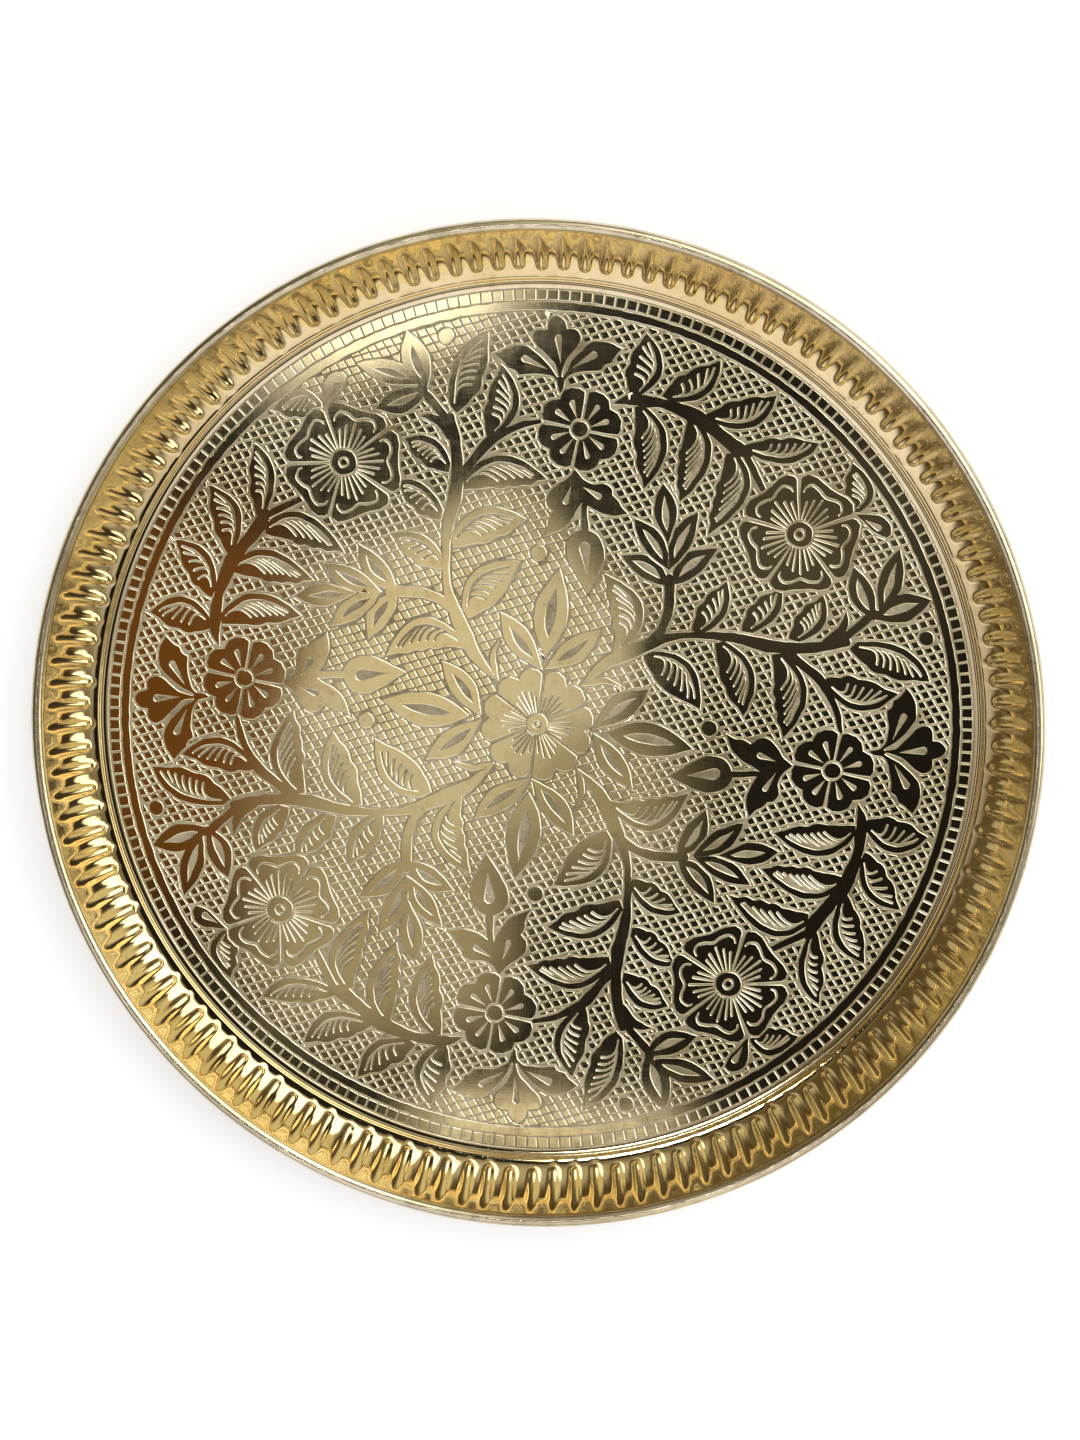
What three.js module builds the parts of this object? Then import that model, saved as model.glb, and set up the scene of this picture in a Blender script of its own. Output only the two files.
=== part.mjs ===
// A round brass serving tray in millimetres, +Z up, standing on z = 0 with its axis on the origin.
// It is pressed from one disc of sheet brass: a flat floor, a small step round it, a cove with
// upright ribs, and an edge rolled outwards and down round a steel wire.
import * as THREE from "three";

const OUTER_RADIUS = 175; // to the outside of the rolled edge
const SHEET = 0.8; // thickness of the brass
const FLOOR_RADIUS = 153; // the flat part
const STEP_RISE = 0.9; // the small step round the floor
const STEP_WIDTH = 1.6;
const COVE_START = 156.5; // radius where the ribbed cove begins
const COVE_END = 169.7; // radius where it ends, just inside the rolled edge
const COVE_LOW_SLOPE = 18; // degrees from level at the foot of the cove
const COVE_HIGH_SLOPE = 68; // degrees from level at its top
const ROLL_RADIUS = 2.15; // outside of the rolled edge
const ROLL_HEIGHT = 16.1; // its centre above the table
const ROLL_START = 200; // degrees round the roll where the cove runs into it
const ROLL_END = -120; // degrees where the sheet stops, leaving a gap under the wire
const WIRE_RADIUS = 0.95;
const RIBS = 134;
const RIB_HEIGHT = 0.9; // how far a rib stands proud of the cove
const RIB_FADE = 0.25; // share of the cove's length in which a rib rises, at either end

const ROUND_SEGMENTS = RIBS; // round the floor and the rolled edge
const FINE = 2; // round the cove: this many more, for rib and hollow
const COVE_STEPS = 3;
const ROLL_STEPS = 7;
const WIRE_SIDES = 6;

const { degToRad, lerp, smoothstep } = THREE.MathUtils;

// A point of the sheet's upper face, with the direction out of that face.
function facePoint(r, z, slopeDegrees, along = null) {
  const slope = degToRad(slopeDegrees);
  return {
    place: new THREE.Vector2(r, z),
    out: new THREE.Vector2(-Math.sin(slope), Math.cos(slope)),
    along, // share of the way up the cove, or null off the cove
  };
}

// The cove's section: an arc that starts at a gentle slope and ends steep.
function covePoints(footHeight) {
  const low = degToRad(COVE_LOW_SLOPE);
  const high = degToRad(COVE_HIGH_SLOPE);
  const arcRadius = (COVE_END - COVE_START) / (Math.sin(high) - Math.sin(low));
  const points = [];
  for (let i = 0; i <= COVE_STEPS; i++) {
    const along = i / COVE_STEPS;
    const slope = lerp(low, high, along);
    const r = COVE_START + arcRadius * (Math.sin(slope) - Math.sin(low));
    const z = footHeight + arcRadius * (Math.cos(low) - Math.cos(slope));
    points.push(facePoint(r, z, THREE.MathUtils.radToDeg(slope), along));
  }
  return points;
}

// The upper face from the axis to the top of the cove.
function upperFace() {
  const stepEnd = FLOOR_RADIUS + STEP_WIDTH;
  const stepTop = SHEET + STEP_RISE;
  const bandRise = (COVE_START - stepEnd) * Math.tan(degToRad(COVE_LOW_SLOPE));
  return [
    facePoint(0, SHEET, 0),
    facePoint(FLOOR_RADIUS, SHEET, 0),
    facePoint(stepEnd, stepTop, COVE_LOW_SLOPE),
    ...covePoints(stepTop + bandRise),
  ];
}

// The under face, one sheet thickness below the upper one.
function underFace(upper) {
  return upper.map(({ place, out, along }) => ({
    place: place.clone().addScaledVector(out, -SHEET),
    out,
    along,
  }));
}

// One face of the rolled edge, from the top of the cove over the wire and down underneath it.
function rollFace(radius) {
  const points = [];
  for (let i = 0; i <= ROLL_STEPS; i++) {
    const turn = degToRad(lerp(ROLL_START, ROLL_END, i / ROLL_STEPS));
    const r = OUTER_RADIUS - ROLL_RADIUS + radius * Math.cos(turn);
    const z = ROLL_HEIGHT + radius * Math.sin(turn);
    points.push({ place: new THREE.Vector2(r, z), out: null, along: null });
  }
  return points;
}

// How far a rib stands out, a given share of the way up the cove.
function ribHeight(along) {
  return RIB_HEIGHT * smoothstep(along, 0, RIB_FADE) * smoothstep(1 - along, 0, RIB_FADE);
}

function trayShell() {
  const upper = upperFace();
  const section = [
    ...underFace(upper),
    ...rollFace(ROLL_RADIUS - SHEET),
    ...rollFace(ROLL_RADIUS).reverse(),
    ...upper.reverse(),
  ];
  const segments = ROUND_SEGMENTS * FINE;
  const outline = section.map(({ place }) => place);
  const geometry = new THREE.LatheGeometry(outline, segments);

  // Off the cove each group of fine segments is closed up to one; on it the first of each is a rib.
  const position = geometry.getAttribute("position");
  for (let i = 0; i < position.count; i++) {
    const { place, out, along } = section[i % section.length];
    const turn = Math.floor(i / section.length) % segments;
    const intoRib = turn % FINE;
    const onCove = along !== null;
    const angle = ((onCove ? turn : turn - intoRib) / segments) * 2 * Math.PI;
    const at = place.clone();
    if (onCove && intoRib === 0) at.addScaledVector(out, ribHeight(along));
    position.setXYZ(i, at.x * Math.sin(angle), at.y, at.x * Math.cos(angle));
  }
  geometry.rotateX(Math.PI / 2);
  return geometry;
}

function edgeWire() {
  const ringRadius = OUTER_RADIUS - ROLL_RADIUS;
  const geometry = new THREE.TorusGeometry(ringRadius, WIRE_RADIUS, WIRE_SIDES, ROUND_SEGMENTS);
  geometry.translate(0, 0, ROLL_HEIGHT);
  return geometry;
}

function piece(name, geometry, material) {
  const mesh = new THREE.Mesh(geometry, new THREE.MeshStandardMaterial(material));
  mesh.name = name;
  return mesh;
}

const brass = { name: "brass", color: 0xc9a653, metalness: 1, roughness: 0.22 };
const steel = { name: "steel", color: 0x8c8c8c, metalness: 1, roughness: 0.45 };

const tray = new THREE.Group();
tray.name = "brass_tray";
tray.add(piece("tray_shell", trayShell(), brass));
tray.add(piece("edge_wire", edgeWire(), steel));

export default tray;
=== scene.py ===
"""A round brass serving tray: etched floor, ribbed wall, and a rim curled over a steel wire.

The ornament is drawn in millimetres round the tray's axis, +X right and +Y up as seen from above.
Its polished tops stand a little proud of the etched ground, with a sloping edge between the two."""

import math

import bpy
import numpy as np
from mathutils import Euler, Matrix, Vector
from mathutils.geometry import delaunay_2d_cdt


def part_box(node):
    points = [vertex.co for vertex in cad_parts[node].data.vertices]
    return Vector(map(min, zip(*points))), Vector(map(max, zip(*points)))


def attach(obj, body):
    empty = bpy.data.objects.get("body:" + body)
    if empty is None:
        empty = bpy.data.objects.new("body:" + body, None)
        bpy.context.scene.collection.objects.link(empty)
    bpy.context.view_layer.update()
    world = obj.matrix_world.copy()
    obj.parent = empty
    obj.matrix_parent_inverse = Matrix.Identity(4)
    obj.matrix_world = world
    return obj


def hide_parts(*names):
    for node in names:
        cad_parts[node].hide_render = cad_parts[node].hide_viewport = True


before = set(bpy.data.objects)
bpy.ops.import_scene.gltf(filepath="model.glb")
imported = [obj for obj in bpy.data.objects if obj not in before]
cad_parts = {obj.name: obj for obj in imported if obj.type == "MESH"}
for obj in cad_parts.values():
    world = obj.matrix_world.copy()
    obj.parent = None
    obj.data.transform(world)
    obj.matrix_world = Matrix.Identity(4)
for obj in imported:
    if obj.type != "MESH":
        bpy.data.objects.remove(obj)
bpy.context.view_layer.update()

MM = 0.001
random = np.random.default_rng(7)

# The sheet, from the middle of the floor outwards, in millimetres
shell_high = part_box("tray_shell")[1]
OUTER_RADIUS = shell_high[0] / MM
SHEET = 0.8
ETCH_DEPTH = 0.13
GROUND = SHEET - ETCH_DEPTH
BEVEL = 0.23
PATTERN_EDGE = 150.8
FLOOR_RADIUS = 153.0
STEP_WIDTH, STEP_RISE = 1.6, 0.9
COVE_START, COVE_END = 156.5, 170.5
COVE_LOW_SLOPE, COVE_HIGH_SLOPE = math.radians(12), math.radians(57)
COVE_HASTE = 1.8  # above 1, the cove steepens sooner than it would at an even rate
ROLL_RADIUS = 2.15
ROLL_START, ROLL_END = math.radians(200), math.radians(-120)
WIRE_RADIUS = 0.95
RIBS = 134
RIB_HEIGHT = 1.4
RIB_HALF_WIDTH = 2.75
RIB_LENGTH = 18.0

# The border round the etched floor
HATCH_RADIUS = 142.4
RING_INNER, RING_OUTER = 143.4, 146.0
SQUARES = 240
SQUARE_INNER, SQUARE_OUTER = 146.95, 150.05
SQUARE_SHARE = 0.77

# The hatch is one slanting lattice over the whole floor
HATCH_ORIGIN = np.array([111.7, 59.3])
HATCH_STEPS = np.array([[2.978, 0.805], [1.583, -2.647]])
HATCH_SHARE = 0.68
CLEARANCE = 0.95  # etched width between a motif and the hatch
CONTOUR = 0.75  # etched width between a motif and one that lies over it
SMALLEST_FRAGMENT = 0.35  # square millimetres; smaller cut diamonds are left out

# Material numbers of the floor and the wall
ETCHED, TOP, SLOPING, UNDER = range(4)
EDGE_OF_ETCH, POLISHED, FORMED, BACK, RIM = range(5)


# ---------------------------------------------------------------- drawing
def turned(points, degrees):
    """Points turned round the tray's axis."""
    a = math.radians(degrees)
    turn = np.array([[math.cos(a), math.sin(a)], [-math.sin(a), math.cos(a)]])
    return np.asarray(points, float) @ turn


def polar(centre, radius, degrees):
    """The point at a radius and an angle round a centre."""
    a = np.radians(degrees)
    return np.stack([centre[0] + radius * np.cos(a), centre[1] + radius * np.sin(a)], -1)


def smooth(points, per=5):
    """A curve through the points, from the first to the last."""
    p = np.asarray(points, float)
    p = np.vstack([2 * p[0] - p[1], p, 2 * p[-1] - p[-2]])
    t = np.linspace(0, 1, per, endpoint=False)[:, None]
    out = []
    for a, b, c, d in zip(p, p[1:], p[2:], p[3:]):
        out.append(b + t * (c - a) / 2 + t**2 * (a - 2.5 * b + 2 * c - d / 2)
                   + t**3 * (1.5 * (b - c) + (d - a) / 2))
    return np.vstack(out + [p[-2:-1]])


def shape(*runs):
    """A closed outline of smooth runs that meet in corners."""
    return np.vstack([smooth(run)[:-1] for run in runs])


def through(start, middle, end, n):
    """An arc-like curve from start to end that passes middle half way."""
    s, m, e = (np.asarray(v, float) for v in (start, middle, end))
    t = np.linspace(0, 1, n)[:, None]
    control = 2 * m - (s + e) / 2
    return (1 - t) ** 2 * s + 2 * t * (1 - t) * control + t**2 * e


def normals(path):
    """Unit vectors to the left of the path, one at each of its points."""
    d = np.gradient(path, axis=0)
    d /= np.linalg.norm(d, axis=1, keepdims=True)
    return np.stack([-d[:, 1], d[:, 0]], -1)


def stroke(path, widths):
    """A band along a path. Widths are spread evenly along it; a width of 0 ends in a point."""
    path = np.asarray(path, float)
    half = np.interp(np.linspace(0, 1, len(path)), np.linspace(0, 1, len(widths)), widths) / 2
    thinnest_rounded = 0.15
    side = normals(path)
    left, right = path + side * half[:, None], path - side * half[:, None]
    ends = []
    for k, sign in ((-1, 1), (0, -1)):
        if half[k] > thinnest_rounded:
            ahead = np.array([side[k][1], -side[k][0]]) * sign
            a = np.radians([-54, -18, 18, 54])[:, None]
            ends.append(path[k] + half[k] * (np.cos(a) * ahead - np.sin(a) * side[k] * sign))
        else:
            ends.append(np.zeros((0, 2)))
    return np.vstack([left, ends[0], right[::-1], ends[1]])


def oval(base, tip, width, sag, fullest):
    """A pointed oval leaf. sag bends it sideways; fullest is where along it it is widest."""
    b, t = np.asarray(base, float), np.asarray(tip, float)
    u = np.linspace(0, 1, 11)
    along = (t - b)
    side = np.array([-along[1], along[0]]) / np.linalg.norm(along)
    swell = np.sin(np.pi * u ** (math.log(0.5) / math.log(fullest)))
    line = b + u[:, None] * along + (sag * np.sin(np.pi * u))[:, None] * side
    left = line + (width / 2 * swell)[:, None] * side
    right = line - (width / 2 * swell)[:, None] * side
    return np.vstack([left, right[-2:0:-1]])


def leaf(base, tip, width, sag, fullest):
    """A plain leaf and the narrow oval etched down its middle."""
    b, t = np.asarray(base, float), np.asarray(tip, float)
    eye = oval(b + 0.2 * (t - b), b + 0.8 * (t - b), width * 0.33, sag * 0.6, 0.45)
    if sag:
        along = (t - b) / np.linalg.norm(t - b)
        eye = eye + np.array([-along[1], along[0]]) * sag * 0.45
    return [oval(b, t, width, sag, fullest)], [eye]


def drop(point, end, width):
    """A drop: a point that widens to a round end."""
    p, e = np.asarray(point, float), np.asarray(end, float)
    along = (e - p) / np.linalg.norm(e - p)
    side = np.array([-along[1], along[0]])
    r = width / 2
    a = np.radians(np.linspace(-100, 100, 9))[:, None]
    cap = e - along * r + r * (np.cos(a) * along + np.sin(a) * side)
    return np.vstack([p, cap])


def disc(centre, radius, n=24):
    """The outline of a round dot."""
    return polar(centre, radius, np.arange(n) * 360 / n)


def feather(base, outer, tip, inner, teeth, scallops, root=3.4):
    """A leaf with a smooth outer edge, a scalloped inner edge and a comb of etched lines.

    It grows from base to tip; outer and inner are the middles of its two edges."""
    b, o, t, i = (np.asarray(v, float) for v in (base, outer, tip, inner))
    across = (o - i) / np.linalg.norm(o - i)
    outer_edge = through(b + across * root / 2, o, t, 17)
    u = np.linspace(0, 1, 25)
    inner_line = through(b - across * root / 2, i, t, 25)
    away = normals(inner_line)
    if np.dot(away[12], i - o) < 0:
        away = -away
    first, last = 0.34, 0.86
    scallop_depth = 0.9
    bumps = np.clip((u - first) / (last - first), 0, 1) * scallops
    ripple = scallop_depth * np.abs(np.sin(np.pi * bumps)) ** 0.8
    inner_edge = inner_line + ripple[:, None] * away
    body = np.vstack([outer_edge, inner_edge[-2::-1]])

    fine_points = 41
    fine = through(b + across * root / 2, o, t, fine_points)
    facing = normals(fine)
    if np.dot(facing[fine_points // 2], i - o) < 0:
        facing = -facing
    v = np.linspace(0, 1, fine_points)
    widest_rib, spine_bow, edge_gap = 1.75, 0.75, 0.25
    rib_width = widest_rib * (0.75 + 0.25 * np.sin(np.pi * v))
    spine = fine + facing * (rib_width + spine_bow * np.sin(np.pi * v) ** 0.7 + edge_gap)[:, None]
    etched = [stroke(spine[2:37:2], [0.45, 1.1, 1.25, 1.15, 0.9])]
    inner_side = through(b - across * root / 2, i, t, fine_points)

    def place(where, share):
        """The point that far along the leaf, and that share of the way from its spine to its inner side."""
        k = min(where, 1) * (fine_points - 1)
        s = np.array([np.interp(k, np.arange(fine_points), spine[:, c]) for c in (0, 1)])
        e = np.array([np.interp(k, np.arange(fine_points), inner_side[:, c]) for c in (0, 1)])
        return s + share * (e - s)

    for k in range(teeth):
        share = k / (teeth - 1)
        start = 0.02 + 0.54 * share
        stop = 0.40 + 0.43 * share
        reach = 0.72 - 0.12 * share
        middle = place(0.5 * (start + stop), 0.3 * reach)
        path = through(place(start, 0), middle, place(stop, reach), 7)
        etched.append(stroke(path, [0.6, 0.95, 0.95]))
    return [body], etched


def heart_flower(centre, size, petals, turn):
    """Outline of a flower of petals with two lobes each."""
    step = 360 / petals
    points = []
    share = np.array([-0.49, -0.455, -0.38, -0.25, -0.12, -0.02, 0, 0.02, 0.12, 0.25, 0.38, 0.455])
    reach = np.array([0.80, 0.90, 0.965, 1.0, 0.965, 0.87, 0.845, 0.87, 0.965, 1.0, 0.965, 0.90])
    for k in range(petals):
        points.append(polar(centre, size * reach, turn + (k + share) * step))
    return np.vstack(points)


# ---------------------------------------------------------------- the ornament
# Each motif is a group: its level, polished outlines, outlines etched into them, and polished islands
# in those. A motif of a higher level lies over those under it.
def big_flower():
    """The five-petalled flower between two branches, with its ring of etched rays."""
    c = (91.4, 65.7)
    step, turn = 72, 127
    share = np.array([-0.475, -0.44, -0.36, -0.24, -0.12, 0, 0.12, 0.24, 0.36, 0.44, 0.475])
    reach = np.array([18.4, 19.9, 20.8, 20.3, 19.2, 18.8, 19.2, 20.3, 20.8, 19.9, 18.4])
    outline = np.vstack([polar(c, reach, turn + (k + share) * step) for k in range(5)])
    cut = []
    for k in range(5):
        axis = turn + k * step
        gap = axis + step / 2
        cut.append(stroke([polar(c, 5, gap), polar(c, 13, gap), polar(c, 21.5, gap)], [0.9, 1.2, 1.7]))
        wave = np.array([-0.40, -0.37, -0.27, -0.14, 0, 0.14, 0.27, 0.37, 0.40])
        far = np.array([14.9, 16.3, 17.4, 16.6, 15.3, 16.6, 17.4, 16.3, 14.9])
        cut.append(stroke(smooth(polar(c, far, axis + wave * step), 3), [0.8, 1.1, 1.1, 0.8]))
        for lean, end in ((-23, 11.2), (-12, 12.4), (0, 13.6), (12, 12.4), (23, 11.2)):
            start = polar(c, 5.4, axis + lean * 1.15)
            cut.append(stroke([start, polar(c, end, axis + lean)], [0.75, 1.0]))
    cut += ring(c, 4.3, 5.2)
    cut.append(disc(c, 2.1))
    return 1, [outline], cut, [disc(c, 1.1, 16)]


def ring(c, inner, outer, n=30):
    """Two overlapping halves of a ring, so that each is one simple outline."""
    halves = []
    for start in (0, 180):
        a = np.linspace(start, start + 181, n // 2)
        halves.append(np.vstack([polar(c, outer, a), polar(c, inner, a[::-1])]))
    return halves


def small_flower():
    """The four-petalled flower, with a pair of etched drops in each petal."""
    c = (16.2, 102.2)
    turn = 33
    outline = heart_flower(c, 14.6, 4, turn)
    cut = []
    for k in range(4):
        gap = turn + 45 + 90 * k
        cut.append(stroke([polar(c, 3, gap), polar(c, 9, gap), polar(c, 15, gap)], [0.9, 1.1, 1.7]))
        for lean in (-18, 18):
            a = turn + 90 * k + lean
            cut.append(drop(polar(c, 3.8, a), polar(c, 10.5, a), 1.9))
    cut += ring(c, 2.7, 3.7, 24)
    return 1, [outline], cut, []


def centre_flower():
    """The six-petalled flower in the middle."""
    c = (0, 0)
    turn = -8
    outline = heart_flower(c, 19.6, 6, turn)
    cut = []
    for k in range(6):
        axis = turn + 60 * k
        cut.append(stroke([polar(c, 4, axis + 30), polar(c, 20.5, axis + 30)], [0.8, 1.5]))
        for lean, end in ((-20, 9.8), (-10, 11.6), (0, 12.4), (10, 11.6), (20, 9.8)):
            cut.append(stroke([polar(c, 4.3, axis + lean), polar(c, end, axis + lean)], [0.7, 0.95]))
    cut += ring(c, 3.5, 4.3)
    cut += [disc(c, 1.5, 18)]
    return 2, [outline], cut, [disc(c, 0.6, 12)]


def trefoil():
    """The three-lobed leaf that points out from the small flower."""
    base = np.array([9.9, 115.4])
    right = shape([(10.6, 118.5), (12.6, 120.6), (16, 121.8), (20, 122.3), (23.8, 122.2)],
                  [(23.8, 122.2), (25, 124), (27.2, 124.9)],
                  [(27.2, 124.9), (28.6, 127.2), (31.1, 129.7)],
                  [(31.1, 129.7), (27.7, 131.5), (24, 132.3), (19.8, 131.5), (15.6, 128.2), (11.6, 122.5),
                   (9.3, 117)])
    right_eye = drop((13.6, 123.2), (22.4, 128.2), 2.4)
    middle = shape([(9.6, 117), (8.6, 123.5), (5.4, 127.6), (1.8, 131.2), (0.6, 134), (2, 136.2),
                    (5.6, 136.6)],
                   [(5.6, 136.6), (6.3, 139.4), (8.8, 141.1), (11.3, 139.3), (12.2, 136.7)],
                   [(12.2, 136.7), (15.2, 136.4), (16.9, 134), (16.2, 131.2), (13, 127.6), (10.6, 123.5),
                    (9.6, 117)])
    middle_eye = drop((9.7, 124.9), (9.1, 134.7), 2.6)
    stem = stroke([base, (9.9, 119.5)], [1.2, 2.8])
    split = smooth([(10.5, 120.6), (12.7, 125), (16.3, 129.3), (19.2, 131.9)])

    def mirror(p):
        """The points on the other side of the trefoil's axis."""
        a = math.radians(92.4)
        d = np.array([math.cos(a), math.sin(a)])
        v = np.asarray(p) - base
        return base + 2 * np.outer(v @ d, d) - v

    solids = [right, mirror(right), middle, stem]
    cuts = [stroke(split, [0.9, 1.3, 1.3]), stroke(mirror(split), [0.9, 1.3, 1.3]),
            right_eye, mirror(right_eye), middle_eye]
    return 0, solids, cuts, []


def calyx_and_bud():
    """The leafy cup under the small flower and the bud that hangs from it."""
    calyx = shape([(14.5, 88.4), (17.2, 84.9), (20.5, 83.4), (24.7, 83.4), (26.9, 81.8), (27.1, 79.5)],
                  [(27.1, 79.5), (29, 77.6), (30.2, 75.4), (32.2, 73.1)],
                  [(32.2, 73.1), (28.6, 72.4), (25, 72.7), (21, 74.3), (18.5, 76)],
                  [(18.5, 76), (16.3, 77)],
                  [(16.3, 77), (14.7, 74.5), (12.4, 70.6), (8.9, 67.6), (3.2, 65.5)],
                  [(3.2, 65.5), (5, 68.5), (5.4, 71.5), (6.8, 74.1)],
                  [(6.8, 74.1), (5, 76.8), (5.3, 80.3), (8, 82.9), (11.6, 85.2), (14.5, 88.4)])
    stem = stroke([(17.3, 79), (17.4, 73), (17.6, 66.5)], [2.1, 1.9, 2.4])
    bud = shape([(17.5, 67.9), (13.6, 66.2), (11.3, 62.8), (11.3, 58.6), (13.2, 54), (18.4, 45.8)],
                [(18.4, 45.8), (23, 55), (23.9, 59.5), (23.1, 63.6), (20.8, 66.4), (17.5, 67.9)])
    eyes = [drop((16.9, 82.5), (23.4, 78.5), 2.0), drop((13, 83), (10.7, 76.2), 2.2),
            drop((17.9, 52), (17.3, 63.4), 4.3)]
    return 0, [calyx, stem, bud], eyes, []


def sprig():
    """Five plain leaves on a stem, in three layers."""
    groups = []
    solids, eyes = [stroke(smooth([(40.3, 28.6), (43.6, 33), (45.9, 39), (46.5, 45), (46.6, 50.5)]),
                           [3.4, 3.0, 3.2, 3.4, 3.4])], []
    lowest = (((46.3, 48.3), (30.1, 58.6), 8.0, -1.2), ((46.9, 48.3), (63, 61), 8.0, 1.2))
    for base, tip, width, sag in lowest:
        s, e = leaf(base, tip, width, sag, 0.48)
        solids += s
        eyes += e
    groups.append((0, solids, eyes, []))
    solids, eyes = [], []
    upper = (((46.4, 53.6), (34.6, 71.4), 7.4, -0.8), ((46.4, 53.6), (56.4, 73.6), 7.4, 0.8))
    for base, tip, width, sag in upper:
        s, e = leaf(base, tip, width, sag, 0.52)
        solids += s
        eyes += e
    groups.append((1, solids, eyes, []))
    s, e = leaf((46.1, 62.6), (44.7, 83.4), 7.8, 0, 0.56)
    groups.append((2, s, e, []))
    return groups


def rim_sprig():
    """Three plain leaves at the end of a branch."""
    stem = smooth([(103, 27.6), (109, 32), (114, 36.2), (117.2, 38.6)])
    leaves = (((115.8, 36.6), (136.2, 43), 9.6, 0.3), ((117, 35.8), (109.9, 54.4), 8.2, 1.0),
              ((118.6, 37.6), (125.4, 60.6), 8.0, -0.3))
    solids, eyes = [stroke(stem, [3.0, 2.6, 3.0, 2.2])], []
    for base, tip, width, sag in leaves:
        s, e = leaf(base, tip, width, sag, 0.52)
        solids += s
        eyes += e
    return 0, solids, eyes, []


def twig():
    """The small leaf and the tear beside the big flower."""
    solids, eyes = feather((111, 73.2), (116.6, 80.6), (109.8, 90), (107.7, 80.6), 4, 2, 1.4)
    tear = shape([(110.4, 72.6), (114.5, 72.4), (118.6, 72), (121.9, 69.4), (122.4, 66), (120.9, 64.4)],
                 [(120.9, 64.4), (117.2, 66), (114, 69), (110.4, 72.6)])
    solids += [tear]
    eyes += [drop((113.4, 70.6), (119.3, 67.1), 2.4)]
    return 0, solids, eyes, []


def branches():
    """The stems that carry the feathered leaves."""
    solids = [
        stroke(smooth([(15.4, 13.7), (19.5, 17.5), (24.5, 21.5), (31, 24.6), (38.5, 27.7), (46, 30.2),
                       (53, 31), (61, 30.8), (70, 29.8), (80, 27.3), (90, 26.4), (99, 27), (107, 28.5)]),
               [0.0, 2.2, 4.0, 5.0, 4.4, 2.8, 2.0, 2.6, 3.6, 4.6, 3.8, 3.6, 3.0]),
        stroke(smooth([(15.6, 13.6), (19.4, 14.7), (24, 15.2), (29.7, 13.0)]), [0.4, 1.7, 1.9, 0.0]),
        stroke(smooth([(100, 28.5), (104.6, 31.4), (106.6, 35), (107.3, 39.2)]), [2.6, 3.4, 2.6, 0.0]),
        stroke(smooth([(86, 26), (92, 20.6), (97.5, 16), (101, 10.5), (103.8, 4), (105.1, -3)]),
               [3.4, 3.0, 3.6, 2.6, 2.2, 1.4]),
        stroke(smooth([(27.6, 110.9), (33, 112.2), (39, 111.7), (45, 110.8), (51, 108.6), (56.5, 106),
                       (61.5, 102.4), (66, 98.6), (70, 95.4), (74, 93.6)]),
               [0.0, 3.6, 4.0, 3.2, 4.4, 5.4, 4.2, 4.4, 5.2, 3.4]),
        stroke([(72, 95.2), (75.4, 88.4), (78.9, 81)], [2.4, 2.3, 2.1]),
    ]
    return 0, solids, [], []


FEATHERS = [
    # base, middle of the outer edge, tip, middle of the inner edge, etched teeth, scallops
    ((56, 32), (66, 38.8), (66.3, 49.4), (57.2, 40.6), 4, 2),
    ((73, 32), (83.7, 38.2), (84.7, 47.2), (74.6, 40), 4, 2),
    ((89.2, 29), (99.6, 34.8), (99.3, 44.6), (90.8, 37), 5, 2),
    ((39, 24.6), (53.6, 20.6), (56.7, 5.3), (43, 14.5), 5, 1),
    ((63.5, 28.6), (75.3, 18), (71.4, 2.9), (64.8, 15.5), 5, 2),
    ((83.5, 24.4), (93.5, 11), (85.2, -4.6), (83, 9), 5, 3),
    ((100, 14), (112, 4.6), (124.8, 10.6), (109, 15.8), 5, 2),
    ((109.5, 27.4), (127, 26), (135.7, 14.8), (118, 18.4), 6, 2),
    ((28.2, 24.8), (37.2, 40.5), (24.2, 52.2), (27.2, 37), 5, 3),
    ((35.6, 113.6), (44.9, 123.4), (39.5, 135), (33.3, 122.6), 4, 2),
    ((46.2, 112.4), (60, 114), (64.8, 125.3), (51, 119.4), 4, 2),
    ((60.6, 105.6), (75.8, 102.7), (83.8, 113.2), (68.6, 110.6), 5, 2),
    ((73.2, 94.8), (88.4, 90.2), (98.2, 97), (82.6, 98), 5, 2),
    ((37, 110), (46.1, 97), (38, 81.8), (35.7, 96.5), 6, 2),
    ((54.8, 105), (61, 92), (50.4, 77.3), (50.6, 91), 6, 3),
    ((68.2, 93.6), (73.8, 80), (60, 66), (63.2, 80), 5, 3),
]


def quarter():
    """The motifs of one quarter of the floor."""
    solids, eyes = [], []
    for base, outer, tip, inner, teeth, scallops in FEATHERS:
        s, e = feather(base, outer, tip, inner, teeth, scallops)
        solids += s
        eyes += e
    groups = [(0, solids, eyes, []), branches(), rim_sprig(), twig()]
    groups += [trefoil(), calyx_and_bud(), big_flower(), small_flower()]
    groups += sprig()
    groups.append((0, [disc((134.5, 29.6), 2.5), disc((1.4, 59.8), 2.6)], [], []))
    return groups


def centre():
    """The middle flower and the four sets of three leaves round it."""
    groups = [centre_flower()]
    long_leaf = leaf((24, -3.2), (54, -8.6), 11.6, 0.6, 0.48)
    right_leaf = leaf((19.6, -3.2), (32.8, -22.2), 8.2, -0.6, 0.52)
    left_leaf = leaf((19.2, -2.0), (38.9, 12), 8.6, 0.6, 0.55)
    for k in range(4):
        def place(outlines):
            return [turned(p, 90 * k) for p in outlines]
        groups.append((0, place(long_leaf[0]), place(long_leaf[1]), []))
        groups.append((1, place(right_leaf[0] + left_leaf[0]), place(right_leaf[1] + left_leaf[1]), []))
    return groups


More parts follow.
